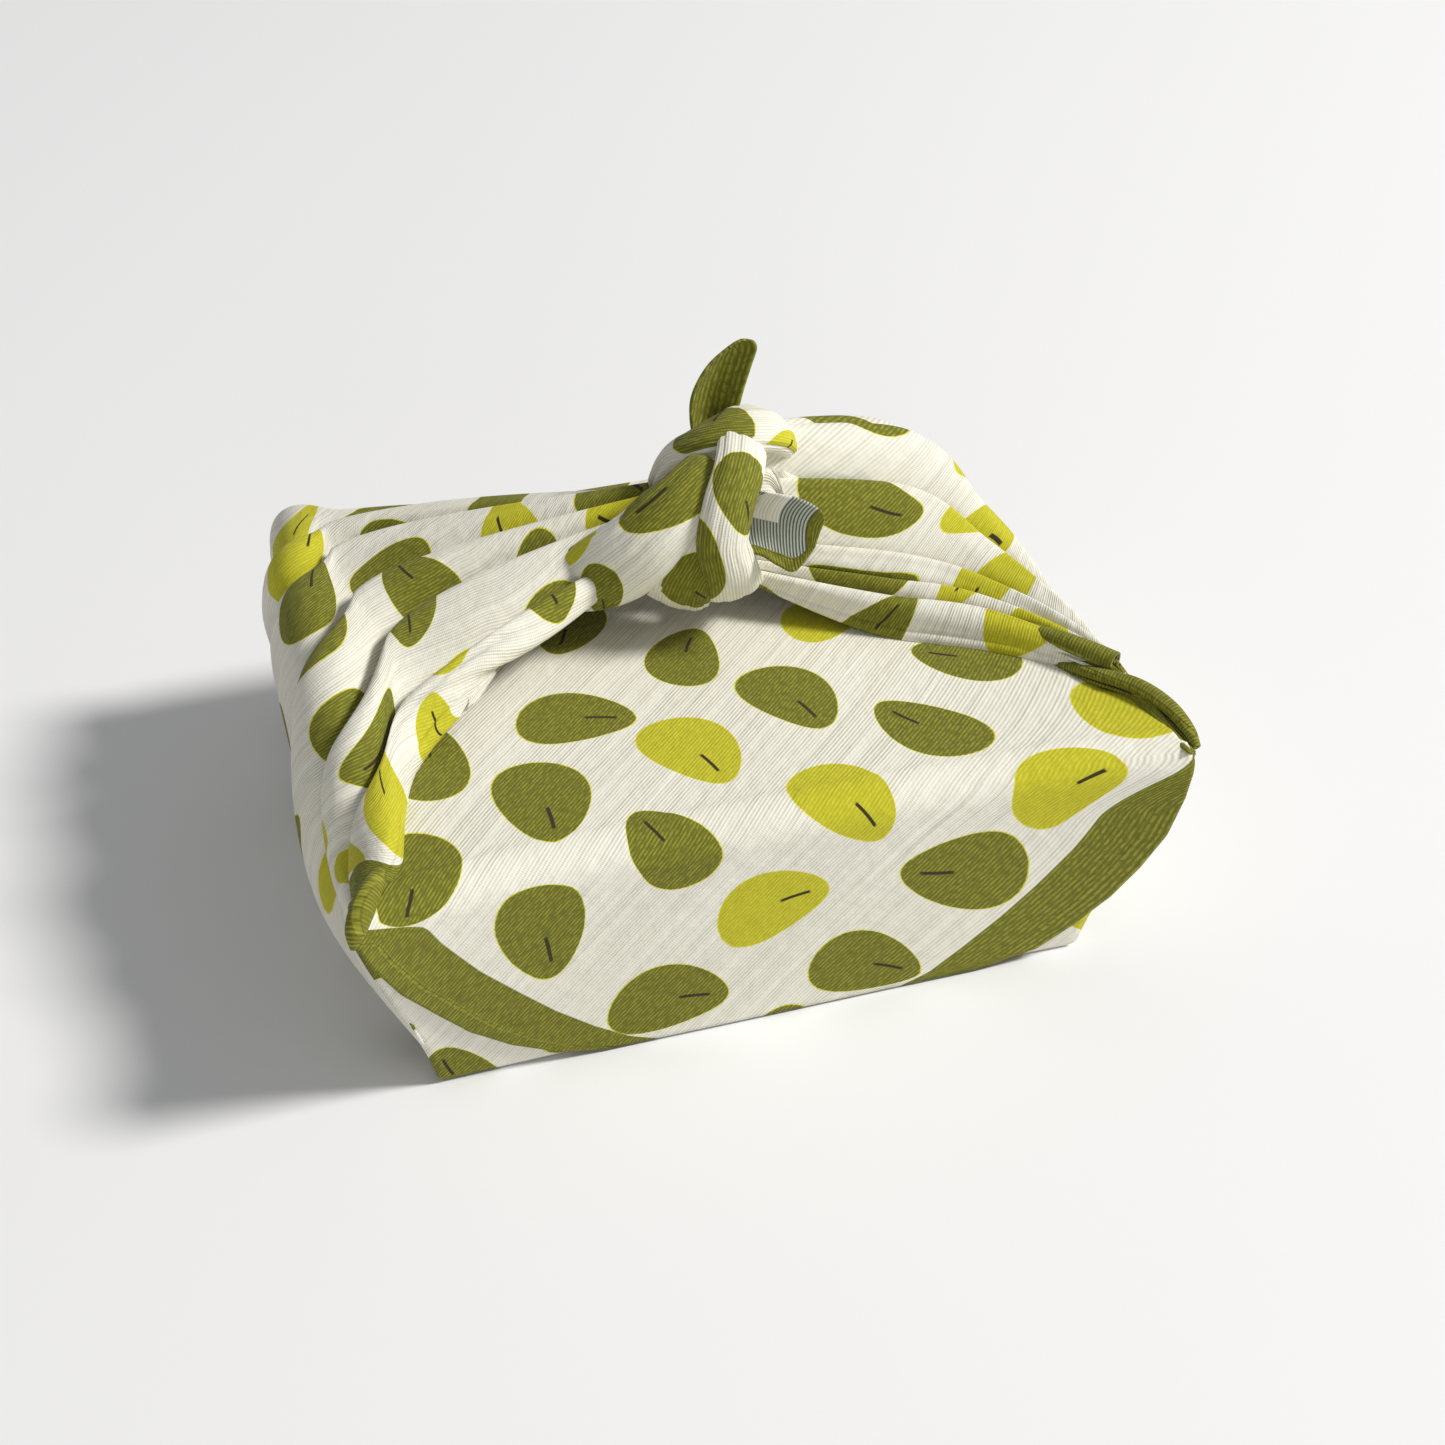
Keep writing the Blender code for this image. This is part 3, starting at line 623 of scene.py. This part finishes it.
def printed_cloth(name, is_reverse=False):
    """Ribbed cotton with its leaf print, border and hem stitches, or its paler reverse."""
    shade = Shade(name)
    uv, x, y = shade.map_of("cloth")
    _, leaf_x, leaf_y = shade.map_of("motif")
    rib, weft, strength, slub = weave(shade, uv, x, y)
    cream = cream_ground(shade, uv, rib, strength, slub)
    moss, lime = inks(shade, uv, rib)
    tone = node(shade.tree, "ShaderNodeAttribute", attribute_name="tone")
    ink = shade.mix(tone.outputs["Fac"], moss, lime)
    leaf, leaf_colour = leaf_print(shade, uv, leaf_x, leaf_y, ink)

    farthest = shade.math("MAXIMUM", shade.math("ABSOLUTE", x), shade.math("ABSOLUTE", y))
    edge = shade.math("SUBTRACT", CLOTH_HALF * MM, farthest)
    border = shade.below(edge, (BORDER - 0.15) * MM, (BORDER + 0.15) * MM)
    turns = shade.math("DIVIDE", shade.math("ADD", x, y), STITCH_PITCH * MM)
    dashed = shade.math("LESS_THAN", shade.math("FRACT", turns), STITCH_SHARE)
    from_seam = shade.math("ABSOLUTE", shade.math("SUBTRACT", edge, SEAM_PLACE * MM))
    seam = shade.below(from_seam, SEAM_WIDTH[0] * MM, SEAM_WIDTH[1] * MM)
    if is_reverse:
        faded = shade.mix(shade.step(rib, 0.35, 0.75), REVERSE, REVERSE_SHADE)
        colour = shade.mix(shade.math("MAXIMUM", leaf, border), cream, faded)
        turned = shade.below(edge, HEM_TURN[0] * MM, HEM_TURN[1] * MM)
        colour = shade.mix(turned, colour, moss)
    else:
        colour = shade.mix(leaf, cream, leaf_colour)
        colour = shade.mix(border, colour, moss)
        stitch = shade.math("MULTIPLY", seam, dashed)
        colour = shade.mix(shade.math("MULTIPLY", stitch, 0.45), colour, MOSS_FLECK)
    patch = shade.step(shade.noise(uv, PATCH_SCALE, 3.0), 0.3, 0.7)
    tint = node(shade.tree, "ShaderNodeVectorMath", operation="SCALE")
    shade.tree.links.new(colour, tint.inputs[0])
    shade.tree.links.new(shade.math("MULTIPLY_ADD", patch, 0.05, 0.955), tint.inputs[3])
    shade.link(tint.outputs[0], shade.surface.inputs["Base Color"])

    rib_relief = shade.math("MULTIPLY", rib, shade.math("MULTIPLY_ADD", strength, 0.7, 0.3))
    height = shade.math("MULTIPLY", rib_relief, RIB_HEIGHT * MM)
    relief = (
        # where, height
        (weft, WEFT_HEIGHT),
        (slub, SLUB_HEIGHT),
        (shade.math("SUBTRACT", 1.0, seam), SEAM_DEPTH),
        (shade.below(edge, HEM_STEP[0] * MM, HEM_STEP[1] * MM), HEM_HEIGHT),
        (shade.noise(uv, CREPE_SCALE, 3.0), CREPE_HEIGHT),
    )
    for where, rise in relief:
        height = shade.math("MULTIPLY_ADD", where, rise * MM, height)
    bump = node(shade.tree, "ShaderNodeBump")
    bump.inputs["Strength"].default_value = 1.0
    bump.inputs["Distance"].default_value = 1.0
    shade.tree.links.new(height, bump.inputs["Height"])
    shade.tree.links.new(bump.outputs[0], shade.surface.inputs["Normal"])
    shade.surface.inputs["Roughness"].default_value = 0.82
    shade.surface.inputs["Specular IOR Level"].default_value = 0.25
    shade.surface.inputs["Sheen Weight"].default_value = 0.06
    shade.surface.inputs["Sheen Roughness"].default_value = 0.5
    return shade.material


def floor_material():
    shade = Shade("floor_paper")
    shade.surface.inputs["Base Color"].default_value = (*FLOOR, 1.0)
    shade.surface.inputs["Roughness"].default_value = 0.9
    return shade.material


def fin_levels(height):
    """Reach of the two front fins at a height: left, right, front left, front right."""
    rise = ease(height / TOP_HEIGHT) * FIN_CURVE + (1.0 - FIN_CURVE) * height / TOP_HEIGHT
    return (
        -HALF_WIDTH - (EAR_LEFT[0] - HALF_WIDTH) * rise,
        HALF_WIDTH + (EAR_RIGHT[0] - HALF_WIDTH) * rise,
        -HALF_DEPTH - (EAR_LEFT[1] - HALF_DEPTH) * rise,
        -HALF_DEPTH - (EAR_RIGHT[1] - HALF_DEPTH) * rise,
    )


def front_y(x, height, deep=HALF_DEPTH):
    """The wrapped parcel's front face at a place."""
    left, right, front_left, front_right = fin_levels(height)
    reach = np.where(x < 0, left, right)
    far = np.where(x < 0, front_left, front_right)
    side = np.abs(x / reach) ** 4
    return -deep * (1.0 - side) + far * side


def parcel_outline(height, inset):
    """One level of the wrapped parcel, as a closed row of points."""
    left, right, _, _ = fin_levels(height)
    wide = HALF_WIDTH - inset
    deep = HALF_DEPTH - inset - UNDER_FLAP * float(ease((height - UNDER_FLAP_LEVEL) / UNDER_FLAP_RISE))
    left += inset * 1.5
    right -= inset * 1.5

    def front(x):
        return front_y(x, height, deep) + inset * 0.3 * np.abs(x / HALF_WIDTH) ** 4

    points = [(x, front(x)) for x in np.linspace(left, right, FRONT_POINTS)]
    for share, behind in FIN_BACK:
        x = right + (wide - right) * share
        points.append((x, front(x) + behind))
    for share in np.linspace(0.13, 0.9, SIDE_POINTS):
        points.append((wide, -deep + 2.0 * deep * share))
    for angle in np.radians(np.linspace(0, 90, CORNER_POINTS)):
        points.append((
            wide - CORNER_ROUND + CORNER_ROUND * math.cos(angle),
            deep - CORNER_ROUND + CORNER_ROUND * math.sin(angle),
        ))
    for share in np.linspace(0.05, 0.95, SIDE_POINTS):
        points.append((wide - 2.0 * wide * share, deep))
    for angle in np.radians(np.linspace(90, 180, CORNER_POINTS)):
        points.append((
            -wide + CORNER_ROUND + CORNER_ROUND * math.cos(angle),
            deep - CORNER_ROUND + CORNER_ROUND * math.sin(angle),
        ))
    for share in np.linspace(0.9, 0.13, SIDE_POINTS):
        points.append((-wide, -deep + 2.0 * deep * share))
    for share, behind in reversed(FIN_BACK):
        x = left + (-wide - left) * share
        points.append((x, front(x) + behind))
    points.append(points[0])
    return [(x, y, height) for x, y in points]


def diagonal(s, t):
    """Flat cloth coordinates along its two edges, from those along its two diagonals."""
    return np.stack([(s + t) / math.sqrt(2.0), (t - s) / math.sqrt(2.0)], axis=-1)


def parcel_cloth(material):
    """The cloth round the parcel's base and sides, open on top under the flap."""
    levels = [(0.8, share) for share in (99.0, 80.0, 60.0, 40.0, 20.0, 8.0)]
    levels += [(0.8, 2.0), (1.0, 1.0), (1.8, 0.3), (3.0, 0.0)]
    levels += [(height, 0.0) for height in np.linspace(6.0, TOP_HEIGHT - EDGE_ROUND, 30)]
    for angle in np.radians(np.linspace(10, 90, 9)):
        levels.append((
            TOP_HEIGHT - EDGE_ROUND + EDGE_ROUND * math.sin(angle),
            EDGE_ROUND * (1.0 - math.cos(angle)),
        ))
    levels += [(TOP_HEIGHT, 14.0), (TOP_HEIGHT, 22.0)]
    rings = []
    for height, inset in levels:
        if height < 0.9 or inset > 10.0:
            edge_inset = 8.0 if inset > 10.0 else inset
            ring = np.array(parcel_outline(height, edge_inset))
            ring[:, :2] *= (HALF_WIDTH - inset) / (HALF_WIDTH - edge_inset)
            rings.append(ring)
        else:
            rings.append(np.array(parcel_outline(height, inset)))
    grid = np.array(rings)
    x, y, z = grid[:, :, 0], grid[:, :, 1], grid[:, :, 2]
    outside = np.stack([x / HALF_WIDTH, y / HALF_DEPTH, (z - 20.0) / 100.0], axis=2)
    reach = np.maximum(np.abs(x), np.abs(y)) - 1e-6
    up = z * np.where(reach > 90.0, 1.0, 0.0)
    column = np.arange(grid.shape[1])
    side_start = FRONT_POINTS + len(FIN_BACK)
    back_start = side_start + SIDE_POINTS + CORNER_POINTS
    front = column < side_start - 1
    back = (column > back_start - 5) & (column < back_start + SIDE_POINTS + 6)
    s = np.where(front | back, x, np.sign(x) * (np.abs(x) + up))
    t = np.where(front, y - up, np.where(back, y + up, y))
    return cloth_piece("parcel_cloth", grid, diagonal(s, t), outside, [material], thickness=0.0, wrap=True)


def flap_path():
    """The far corner's way: up the back, over the top, down the front. Place, height, flat distance."""
    path = [(HALF_DEPTH + FLAP_LIFT, height) for height in np.linspace(2.0, TOP_HEIGHT - EDGE_ROUND, 30)]
    for angle in np.radians(np.linspace(5, 90, 12)):
        path.append((
            HALF_DEPTH - EDGE_ROUND + (EDGE_ROUND + FLAP_LIFT) * math.cos(angle),
            TOP_HEIGHT - EDGE_ROUND + (EDGE_ROUND + FLAP_LIFT) * math.sin(angle),
        ))
    top_end = -HALF_DEPTH + EDGE_ROUND + 1.5
    path += [(y, TOP_HEIGHT + FLAP_LIFT) for y in np.linspace(88.0, top_end, 90)]
    for angle in np.radians(np.linspace(0, 90, 16)):
        path.append((
            -HALF_DEPTH + EDGE_ROUND - (EDGE_ROUND + FLAP_FRONT_LIFT) * math.sin(angle),
            TOP_HEIGHT - EDGE_ROUND + (EDGE_ROUND + FLAP_EDGE_LIFT) * math.cos(angle),
        ))
    front_start = TOP_HEIGHT - EDGE_ROUND - 1.5
    path += [(-HALF_DEPTH - FLAP_FRONT_LIFT, height) for height in np.linspace(front_start, 0.9, 56)]
    path = np.array(path)
    steps = np.linalg.norm(np.diff(path, axis=0), axis=1)
    return path, HALF_DEPTH + np.concatenate([[0.0], np.cumsum(steps)])


def far_flap(materials):
    path, distance = flap_path()
    front_rows = (path[:, 0] < 0) & (path[:, 1] < FIRST_HEM_LEVEL)
    hem = np.array(HEM)
    top = np.array(FLAP_TOP)
    share = np.linspace(-1.0, 1.0, FLAP_COLUMNS)
    rows = []
    flats = []
    for (y, z), t in zip(path, distance):
        on_back = y > 0 and z < TOP_HEIGHT - 0.5
        on_front = y < 0 and z < TOP_HEIGHT - 0.2
        if on_front:
            left, right = (np.interp(z, hem[:, 0], hem[:, side]) for side in (1, 2))
        elif on_back:
            left = right = HALF_WIDTH - 2.5
        else:
            left, right = (np.interp(y, top[:, 0], top[:, side]) for side in (1, 2))
        reach = np.where(share < 0, left, right)
        x = share * reach
        row = np.zeros((len(share), 3))
        row[:, 0] = x
        row[:, 2] = z
        if y < 0:
            push = front_y(x, z) + HALF_DEPTH
            row[:, 1] = y + push * ease((-y - FRONT_FOLLOW[0]) / FRONT_FOLLOW[1])
        else:
            row[:, 1] = y
        sunk = EDGE_SUNK * np.abs(share) ** EDGE_SUNK_POWER
        if on_back:
            row[:, 1] -= sunk
        elif not on_front and y > -70.0:
            row[:, 2] -= sunk
        rows.append(row)
        level = min(z, FIRST_HEM_LEVEL)
        start = np.where(share < 0, LEFT_TURN_BACK, RIGHT_TURN_BACK)
        turned_back = BORDER * math.sqrt(2.0) * ease((level - start) / (FIRST_HEM_LEVEL - start))
        hem_reach = [np.interp(level, hem[:, 0], hem[:, side]) for side in (1, 2)]
        flat_t = np.interp(-level, -path[front_rows, 1], distance[front_rows])
        drawn = np.where(share < 0, *hem_reach) + flat_t + turned_back - CORNER_DISTANCE
        drawn = 0.5 * drawn * np.abs(share) ** DRAWN_POWER
        if not on_front:
            drawn = drawn * float(ease((-y - DRAWN_FADE[0]) / DRAWN_FADE[1]))
        flats.append(diagonal(x - np.sign(x) * drawn, t - drawn))
    grid = np.array(rows)
    flat = np.array(flats)
    normal = normals_of(grid)
    if normal[60, 120, 2] < 0:
        normal = -normal
    x, y, z = grid[:, :, 0], grid[:, :, 1], grid[:, :, 2]
    soft = wobble(x / 26.0, distance[:, None] / 30.0, 3) * 0.5
    grid = grid + normal * (soft * ease((101.0 - np.abs(x)) / 20.0) * 0.6 + 0.3)[:, :, None]
    return cloth_piece("far_flap", grid, flat, normal, materials)


def wing(name, lines, folds, side, materials, seed, tucks, pleats):
    """A gathered corner of the cloth, from the parcel's side up over its rim to the knot."""
    lines = np.array(lines, float)
    stations = lines.shape[1]
    rows = (stations - 1) * STATION_ROWS + 1
    where = np.linspace(0.0, stations - 1.0, rows)
    swept = along(lines.transpose(1, 0, 2), where)
    columns = []
    heights = []
    section = along(FOLD_SECTION, np.linspace(0.0, len(FOLD_SECTION) - 1.0, FOLD_COLUMNS + 1))
    for first, last, height in folds:
        bend = section[1:] if columns else section
        columns.extend(first + (last - first) * bend[:, 0])
        heights.extend(height * bend[:, 1])
    columns = np.array(columns)
    base = along(swept.transpose(1, 0, 2), columns).transpose(1, 0, 2)
    normal = normals_of(base)
    if normal[rows // 2, :, 2].mean() < 0:
        normal = -normal
    lift = along(np.array(LEFT_LIFT if side < 0 else RIGHT_LIFT).reshape(-1, 1), where)
    rise = lift * np.array(heights).reshape(1, -1)
    fine = wobble(columns[None, :] * 6.0, where[:, None] * 2.2, seed, 6)
    rise = rise + fine * FINE_RISE * np.sin(math.pi * where / (stations - 1.0))[:, None]
    sway = 0.5 * np.sin(where * 1.3 + seed)[:, None] + 0.9 * np.sin(columns * 1.7 + seed)[None, :]
    pleat = np.abs(np.sin(columns[None, :] * pleats * math.pi + sway)) ** 0.7 - 0.6
    pleat = pleat * (0.65 + 0.35 * np.sin(columns * 4.1 + seed))[None, :]
    rise = rise + pleat * along(np.array(PLEAT_RISE).reshape(-1, 1), where)
    grid = base + normal * rise[:, :, None]
    radius = along(np.array(EDGE_ROLL).reshape(-1, 1), where)
    outward = base[:, 0] - base[:, ROLL_FACING_COLUMN]
    soften = np.hanning(ROLL_SMOOTHING) / np.hanning(ROLL_SMOOTHING).sum()
    margin = ROLL_SMOOTHING // 2
    padded = np.pad(outward, ((margin, margin), (0, 0)), mode="edge")
    outward = np.stack([np.convolve(padded[:, axis], soften, mode="valid") for axis in range(3)], axis=1)
    outward = outward / np.linalg.norm(outward, axis=1, keepdims=True)
    rolled = [
        grid[:, 0] + outward * radius * math.sin(angle) - normal[:, 0] * radius * (1.0 - math.cos(angle))
        for angle in np.radians(np.linspace(*ROLLED_EDGE))
    ]
    grid = np.concatenate([np.stack(rolled, axis=1), grid], axis=1)
    normal = np.concatenate([np.repeat(normal[:, :1], len(rolled), axis=1), normal], axis=1)
    grid[:, :, 2] = np.maximum(grid[:, :, 2], 0.9)
    across = arc_lengths(grid, 1)
    lengthwise = arc_lengths(base, 0).mean(axis=1)[:, None] * np.ones_like(across)
    tucked = along(np.array(tucks, float).reshape(-1, 1), where)
    inward = across + tucked
    if side < 0:
        flat = np.stack([-CLOTH_HALF + inward, lengthwise + LEFT_FLAT_START], axis=2)
    else:
        slanted = lengthwise + RIGHT_FLAT_START + inward * RIGHT_FLAT_SLANT
        flat = np.stack([slanted, -CLOTH_HALF + inward], axis=2)
    return cloth_piece(name, grid, flat, normal, materials)


def strand(name, rows, materials, number):
    """A flattened roll of cloth through the table's points, with pleats along it."""
    table = np.array(rows, float)
    where = np.linspace(0.0, len(table) - 1.0, (len(table) - 1) * STRAND_ROWS + 1)
    path = along(table, where)
    centre = np.array(HEART)
    tangents = np.gradient(path[:, :3], axis=0)
    turns = np.linspace(0.0, 2.0 * math.pi, STRAND_COLUMNS)
    rings = []
    for place, (point, tangent) in enumerate(zip(path, tangents)):
        tangent = tangent / np.linalg.norm(tangent)
        out = point[:3] - centre
        out = out - tangent * out.dot(tangent)
        out = out / max(np.linalg.norm(out), 1e-6)
        side = np.cross(tangent, out)
        swing = 0.35 * math.sin(where[place] * 1.3 + number)
        pleat = np.abs(np.sin(turns * 4.5 + swing + number)) ** 0.6
        fine = np.abs(np.sin(turns * 9.0 - 2.0 * swing + 2.0 * number))
        swell = 0.93 + 0.07 * pleat + 0.02 * fine
        ahead = min(where[place], where[-1] - where[place]) / STRAND_CLOSE
        swell = swell * max(math.sqrt(1.0 - (1.0 - min(ahead, 1.0)) ** 2), 0.03)
        ring = (
            point[:3]
            + side * (point[3] * np.cos(turns) * swell)[:, None]
            + out * (point[4] * np.sin(turns) * swell)[:, None]
        )
        rings.append(ring)
    grid = np.array(rings)
    grid[:, -1] = grid[:, 0]
    outside = grid - path[:, None, :3]
    across = arc_lengths(grid, 1)
    lengthwise = arc_lengths(path[:, None, :3], 0)[:, :1] * np.ones_like(across)
    step_across, step_along = STRAND_FLAT_STEP
    flat = np.stack([
        across + step_across * number + STRAND_FLAT_START,
        lengthwise - step_along * number,
    ], axis=2)
    leaves = np.array(STRAND_LEAVES[name])
    return cloth_piece(name, grid, flat, outside, materials, thickness=0.0, leaves=leaves, wrap=True)


def hem_roll(name, rows, turn, materials, inner=0.55):
    """A hem rolled up on itself, open at its ends. turn is where its inner edge starts, in degrees."""
    table = np.array(rows, float)
    where = np.linspace(0.0, len(table) - 1.0, (len(table) - 1) * ROLL_ROWS + 1)
    path = along(table, where)
    tangent = np.gradient(path[:, :3], axis=0)
    tangent = tangent / np.linalg.norm(tangent, axis=1, keepdims=True)
    across = np.cross(tangent, np.array([0.0, 0.0, 1.0]))
    across = across / np.linalg.norm(across, axis=1, keepdims=True)
    above = np.cross(across, tangent)
    wound = np.linspace(0.0, 1.0, ROLL_COLUMNS)
    angle = math.radians(turn) + wound * ROLL_WINDING * 2.0 * math.pi
    reach = path[:, 3:4] * (ROLL_CORE + (1.0 - ROLL_CORE) * wound ** 0.8)
    grid = (
        path[:, None, :3]
        + across[:, None] * (reach * np.cos(angle))[:, :, None]
        + above[:, None] * (reach * np.sin(angle))[:, :, None]
    )
    outside = grid - path[:, None, :3]
    inward = arc_lengths(grid, 1)
    lengthwise = arc_lengths(path[:, None, :3], 0)[:, :1] * np.ones_like(inward)
    flat = np.stack([lengthwise - 40.0, inward * inner - CLOTH_HALF], axis=2)
    return cloth_piece(name, grid, flat, outside, materials)


def free_end(name, rows, facing, materials, inner=1.0, ribs_across=False):
    """A short free end of the cloth, cupped along its middle."""
    where = np.linspace(0.0, len(rows) - 1.0, (len(rows) - 1) * END_ROWS + 1)
    upper = along(np.array([row[0] for row in rows], float), where)
    lower = along(np.array([row[1] for row in rows], float), where)
    dips = along(np.array([[row[2]] for row in rows], float), where)
    facing = np.array(facing, float) / np.linalg.norm(facing)
    share = np.linspace(0.0, 1.0, END_COLUMNS).reshape(1, -1, 1)
    cup = np.sin(math.pi * share)
    grid = upper[:, None] * (1.0 - share) + lower[:, None] * share
    grid = grid - facing * cup * dips[:, None]
    across = arc_lengths(grid, 1)
    lengthwise = arc_lengths(grid, 0)
    width = across[:, -1:]
    total = lengthwise[-1:, :]
    flat = np.stack([
        CLOTH_HALF - (width - across) * inner,
        CLOTH_HALF - (total - lengthwise),
    ], axis=2)
    if ribs_across:
        flat = flat[:, :, ::-1]
    outside = np.ones_like(grid) * facing
    return cloth_piece(name, grid, flat, outside, materials)


def build_cloth():
    face = printed_cloth("printed_cotton")
    back = printed_cloth("printed_cotton_reverse", is_reverse=True)
    both = [face, back]
    parcel_cloth(face)
    far_flap(both)
    wing(
        "left_wing", LEFT_LINES, LEFT_FOLDS, -1, both, LEFT_SEED, LEFT_TUCKS, LEFT_PLEATS
    )
    wing(
        "right_wing", RIGHT_LINES, RIGHT_FOLDS, 1, both, RIGHT_SEED, RIGHT_TUCKS, RIGHT_PLEATS
    )
    for number, (name, rows) in enumerate(KNOT_STRANDS):
        strand(name, rows, [face], number)
    free_end(
        "front_end", FRONT_END, FRONT_END_FACING, [back, face], ribs_across=True
    )
    free_end("back_end", BACK_END, BACK_END_FACING, both, 0.55)
    hem_roll("right_hem_roll", RIGHT_HEM_ROLL, 200.0, both)
    hem_roll("right_ear_roll", RIGHT_EAR_ROLL, 200.0, both)
    hem_roll("left_ear_roll", LEFT_EAR_ROLL, 150.0, [face, face], 0.25)
    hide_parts("furoshiki")


def build_floor():
    mesh = bpy.data.meshes.new("floor")
    far = FLOOR_HALF
    corners = [(-far, -far, 0.0), (far, -far, 0.0), (far, far, 0.0), (-far, far, 0.0)]
    mesh.from_pydata(corners, [], [(0, 1, 2, 3)])
    mesh.materials.append(floor_material())
    floor = bpy.data.objects.new("floor", mesh)
    bpy.context.scene.collection.objects.link(floor)


def build_light():
    world = bpy.data.worlds.new("studio")
    world.use_nodes = True
    world.node_tree.nodes["Background"].inputs[0].default_value = WORLD_COLOUR
    world.node_tree.nodes["Background"].inputs[1].default_value = WORLD_STRENGTH
    bpy.context.scene.world = world
    for name, place, size, power, colour in LIGHTS:
        light = bpy.data.lights.new(name, "AREA")
        light.shape = "DISK"
        light.size = size
        light.energy = power
        light.color = colour
        made = bpy.data.objects.new(name, light)
        made.location = place
        toward = Vector(LIT_PLACE) - Vector(place)
        made.rotation_euler = toward.to_track_quat("-Z", "Y").to_euler()
        bpy.context.scene.collection.objects.link(made)


def build_camera():
    data = bpy.data.cameras.new("photo_view")
    data.sensor_width = SENSOR_WIDTH
    data.lens = LENS
    camera = bpy.data.objects.new("photo_view", data)
    camera.location = CAMERA_PLACE
    camera.rotation_euler = Vector(CAMERA_TOWARD).to_track_quat("-Z", "Y").to_euler()
    bpy.context.scene.collection.objects.link(camera)
    bpy.context.scene.camera = camera


build_cloth()
build_floor()
build_light()
build_camera()
bpy.context.scene.view_settings.view_transform = "Standard"

bpy.context.view_layer.update()
